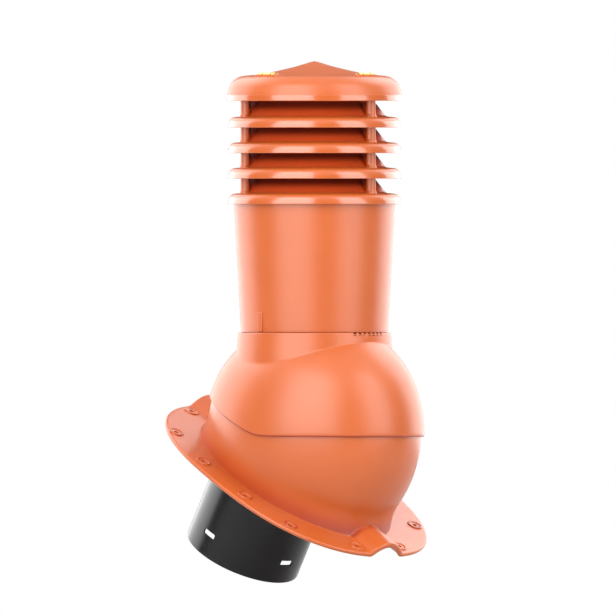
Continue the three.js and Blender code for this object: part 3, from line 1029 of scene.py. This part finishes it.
def post(foot, top):
    """A round post with a flared foot and, along its outer face, a shallow groove that falls off with
    the fourth power of the angle."""
    outline = eased([
        (0, foot - POST_SINK, 0),
        (POST_RADIUS + 1.6, foot - POST_SINK, 0.2),
        (POST_RADIUS + 1.4, foot + 1.2, 1.2),
        (POST_RADIUS, foot + 4, 2.4),
        (POST_RADIUS, top, 0.2),
        (0, top, 0),
    ], loop=False)
    points, faces = lathe(outline, columns=56, loop=False)
    angle = np.arctan2(points[:, 1], points[:, 0])
    above_foot = points[:, 2] > foot + POST_GROOVE_FOOT
    groove = POST_GROOVE_DEPTH * np.exp(-(angle / POST_GROOVE_ANGLE) ** 4) * above_foot
    narrowed = 1 - groove / POST_RADIUS
    points = points * np.stack([narrowed, narrowed, 1 + 0 * narrowed], -1)
    return points + (POST_CIRCLE, 0, 0), faces


def posts_and_webs(lip, top):
    """Three posts on a louvre's top sheet, each with a thin web back to the inner cone."""
    web_outline = eased(raised([
        (POST_CIRCLE - 1, 12.4, 0.3),
        (POST_CIRCLE - 1, 34.5, 0.3),
        (73.4, 34.5, 0.6),
        (87.6, 16, 1.0),
    ], lip), bend_steps=3)
    column = joined([post(lip + POST_FOOT, top), plate(web_outline, WEB_THICKNESS, WEB_EDGE)])
    return copies_round(column, POST_ANGLES)


def louvre(lip, post_top):
    """A louvre ring: rolled lip, top sheet and inner cone, with the posts that carry the next one."""
    outline = eased(np.concatenate([raised(LOUVRE_OUTSIDE, lip), raised(LIP_INSIDE, lip)]))
    return joined([lathe(outline), posts_and_webs(lip, post_top)])


def tapered_pipe():
    """The pipe: a tapered tube that ends in a louvre's lip and cone, with a narrow neck in the collar's
    top."""
    wall = np.array([
        (99.9, PIPE_LIP + 9.8, 2.0),
        (89.6, PIPE_FOOT, 0.8),
        (92.6, PIPE_FOOT, 0.8),
        (92.7, COLLAR_TOP - 5, 0.4),
        (NECK_RADIUS, COLLAR_TOP - 4, 0.4),
        (NECK_RADIUS, COLLAR_TOP + 0.1, 0.3),
        (93.4, COLLAR_TOP + 0.55, 0.3),
        (102.5, PIPE_LIP + 3.6, 2.0),
        (104.4, PIPE_LIP + 7.0, 1.5),
    ])
    corners = (raised(LOUVRE_OUTSIDE, PIPE_LIP), wall, raised(LIP_INSIDE[1:], PIPE_LIP))
    return lathe(eased(np.concatenate(corners)))


def pipe_keys():
    """Two upright keys at the pipe's foot, near the two ends of the tilt axis."""
    key = moved(block(KEY_HALF_SIZE, KEY_CORNER), lambda points: points + KEY_AT)
    return copies_round(key, KEY_ANGLES)


pipe_posts = posts_and_webs(PIPE_LIP, PIPE_LIP + RING_PITCH + POST_OVERLAP)
pipe = joined([tapered_pipe(), pipe_posts, pipe_keys()])
piece("vent_pipe_tube", moved(pipe, on_head), "head", HEAD_TERRACOTTA,
      "vent_pipe")
for number in RING_NUMBERS:
    lip_height = PIPE_LIP + RING_PITCH * (len(RING_NUMBERS) + 1 - number)
    top_ring = number == RING_NUMBERS[0]
    post_top = CAP_POST_TOP if top_ring else lip_height + RING_PITCH + POST_OVERLAP
    piece(f"louvre_{number}", moved(louvre(lip_height, post_top), on_head), "head",
          HEAD_TERRACOTTA, f"louvre_ring_{number}")


# Cap and level vials

def cap_cone():
    """The cap: a low cone that eases into a flat shoulder, a round brow and a plain skirt band, then
    back along the inside."""
    return lathe(eased([
        (0, 471.0, 0),
        (5, 469.9, 3),
        (25.4, 463.7, 8),
        (47, 458.6, 10),
        (66, 454.6, 12),
        (94, 452.0, 6),
        (101.2, 448.1, 5),
        (107.3, 442.2, 5),
        (110.2, 432.5, 4),
        (110.8, 427.8, 0.8),
        (111.05, 426.9, 0.8),
        (111.2, 420.6, 0.8),
        (108.1, 420.6, 0.8),
        (107.6, 431, 4),
        (105.2, 438.6, 4),
        (98.4, 446.8, 4),
        (93, 449.7, 4),
        (65.6, 452.4, 8),
        (46.2, 456.7, 8),
        (0, 468.2, 0),
    ], loop=False), loop=False)


def cradle():
    """The frame round a vial: an outer and an inner round-cornered outline joined over a soft top."""
    rows = [rounded_outline(*size) for size in CRADLE_ROWS[:, :3]]
    rows.append(CRADLE_FLOOR_SHARE * rows[-1])
    heights = np.append(CRADLE_ROWS[:, 3], CRADLE_FLOOR)[:, None] + 0 * rows[0][:, 0]
    points, faces = net(np.concatenate([np.stack(rows), heights[..., None]], -1))
    return points + (VIAL_CIRCLE, 0, 0), faces


def vial_tube():
    """A capsule lying along the tangent: half circles at both ends pushed apart by its straight
    length."""
    angle = np.linspace(-np.pi / 2, np.pi / 2, 28)
    along = np.sign(angle) * (VIAL_LENGTH / 2 - VIAL_RADIUS) + VIAL_RADIUS * np.sin(angle)
    outline = np.stack([VIAL_RADIUS * np.cos(angle), along], -1)
    points, faces = lathe(outline, columns=40, loop=False)
    lying = np.stack([points[:, 1], points[:, 2], points[:, 0]], -1)
    return lying + (VIAL_CIRCLE, 0, VIAL_HEIGHT), faces


cap = joined([cap_cone(), copies_round(cradle(), VIAL_TURNS.values())])
piece("rain_cap_cone", moved(cap, on_head), "head", HEAD_TERRACOTTA, "rain_cap")
for side, vial_angle in VIAL_TURNS.items():
    vial = copies_round(vial_tube(), [vial_angle])
    piece(f"vial_{side}", moved(vial, on_head), "head",
          vial_material(f"vial_{side}", vial_angle), f"level_vial_{side}")


# Studio

CAMERA_TURN = math.radians(45)
MM_PER_PIXEL = 1.27
IMAGE_SIZE = 616
AXIS_PIXEL = (314.5, 432)
CAMERA_DISTANCE = 3.0
FLOOR_LEVEL = -0.175
FLOOR_RADIUS = 2.1
FLOOR_SIDES = 96
SOFTBOX_LOW = -0.1
SOFTBOX_HIGH = 3.2
SOFTBOX_DISTANCE = 2.2
ROOM_LIGHT = 0.25
ROOM_LIGHT_ABOVE = 0.9
ROOM_ABOVE = (0.2, 0.95)
ROOM_DIMMED_BEHIND = 0.55
ROOM_BEHIND = (0.4, 0.95)
RIGHT = np.array((math.cos(CAMERA_TURN), math.sin(CAMERA_TURN), 0))
AWAY = np.array((-math.sin(CAMERA_TURN), math.cos(CAMERA_TURN), 0))
UP = np.array((0, 0, 1))


def add_camera():
    """A level view from the downhill right-hand side, without perspective, framed by the pixel where
    the tilt axis shows."""
    data = bpy.data.cameras.new("camera")
    data.type = "ORTHO"
    data.ortho_scale = IMAGE_SIZE * MM_PER_PIXEL * MM
    camera = added("camera", data)
    aside = (IMAGE_SIZE / 2 - AXIS_PIXEL[0]) * MM_PER_PIXEL
    above = (AXIS_PIXEL[1] - IMAGE_SIZE / 2) * MM_PER_PIXEL
    target = (AXIS + aside * RIGHT + above * UP) * MM
    target = target - AWAY * np.dot(target, AWAY)
    camera.location = target - AWAY * CAMERA_DISTANCE
    camera.rotation_euler = (math.pi / 2, 0, CAMERA_TURN)
    bpy.context.scene.camera = camera


def add_floor():
    """A plain pale floor below the spigot: a disc that ends in front of the softboxes."""
    edge = about_axis(FLOOR_RADIUS, full_turn(FLOOR_SIDES), FLOOR_LEVEL)
    mesh = bpy.data.meshes.new("floor")
    mesh.from_pydata(edge, [], [range(len(edge))])
    floor = added("floor", mesh)
    material, finish, shader, where = new_material("pale_floor", {"Roughness": 0.8})
    tone = finish.noise(where, size=400)
    finish.fill(shader.inputs["Base Color"], finish.mixed(tone, FLOOR_GREY, FLOOR_PALE_GREY))
    mesh.materials.append(material)


def add_softbox(name, turn, width, radiance):
    """A tall upright soft light, turned in degrees to the left or right of the camera's line."""
    angle = math.radians(turn)
    height = SOFTBOX_HIGH - SOFTBOX_LOW
    side = math.sin(angle) * RIGHT - math.cos(angle) * AWAY
    light = bpy.data.lights.new(name, "AREA")
    light.shape = "RECTANGLE"
    light.size, light.size_y = width, height
    light.energy = radiance * math.pi * width * height
    lamp = added(name, light)
    middle = UP * (SOFTBOX_LOW + SOFTBOX_HIGH) / 2
    lamp.location = AXIS * MM * (1, 1, 0) + SOFTBOX_DISTANCE * side + middle
    lamp.rotation_euler = (math.pi / 2, 0, math.atan2(side[0], -side[1]))
    lamp.visible_camera = False


def add_surroundings():
    """A white room: white to the eye, and as light brighter above and dimmer behind the object."""
    world = bpy.data.worlds.new("white_room")
    bpy.context.scene.world = world
    world.use_nodes = True
    world.node_tree.nodes.clear()
    room = Finish(world.node_tree)
    direction = room.node("ShaderNodeTexCoord", output="Generated")

    def towards(way):
        sockets = {0: direction, 1: way.tolist()}
        return room.node("ShaderNodeVectorMath", {"operation": "DOT_PRODUCT"}, sockets, output="Value")

    from_above = ROOM_LIGHT + ROOM_LIGHT_ABOVE * towards(UP).rise(*ROOM_ABOVE)
    brightness = from_above * (1 - ROOM_DIMMED_BEHIND * towards(AWAY).rise(*ROOM_BEHIND))
    lit = room.node("ShaderNodeBackground", sockets={"Color": WHITE, "Strength": brightness})
    seen = room.node("ShaderNodeBackground", sockets={"Color": WHITE, "Strength": 1.0})
    eye = room.node("ShaderNodeLightPath", output="Is Camera Ray")
    shown = room.node("ShaderNodeMixShader", sockets={0: eye, 1: lit, 2: seen})
    room.node("ShaderNodeOutputWorld", sockets={"Surface": shown})


add_camera()
add_floor()
add_surroundings()
add_softbox("left_softbox", turn=-29, width=2.3, radiance=3.9)
add_softbox("right_softbox", turn=53, width=1.5, radiance=3.4)
add_softbox("left_rim_softbox", turn=-132, width=2.8, radiance=2.9)
add_softbox("right_rim_softbox", turn=138, width=2.3, radiance=3.0)
bpy.context.scene.view_settings.view_transform = "Standard"
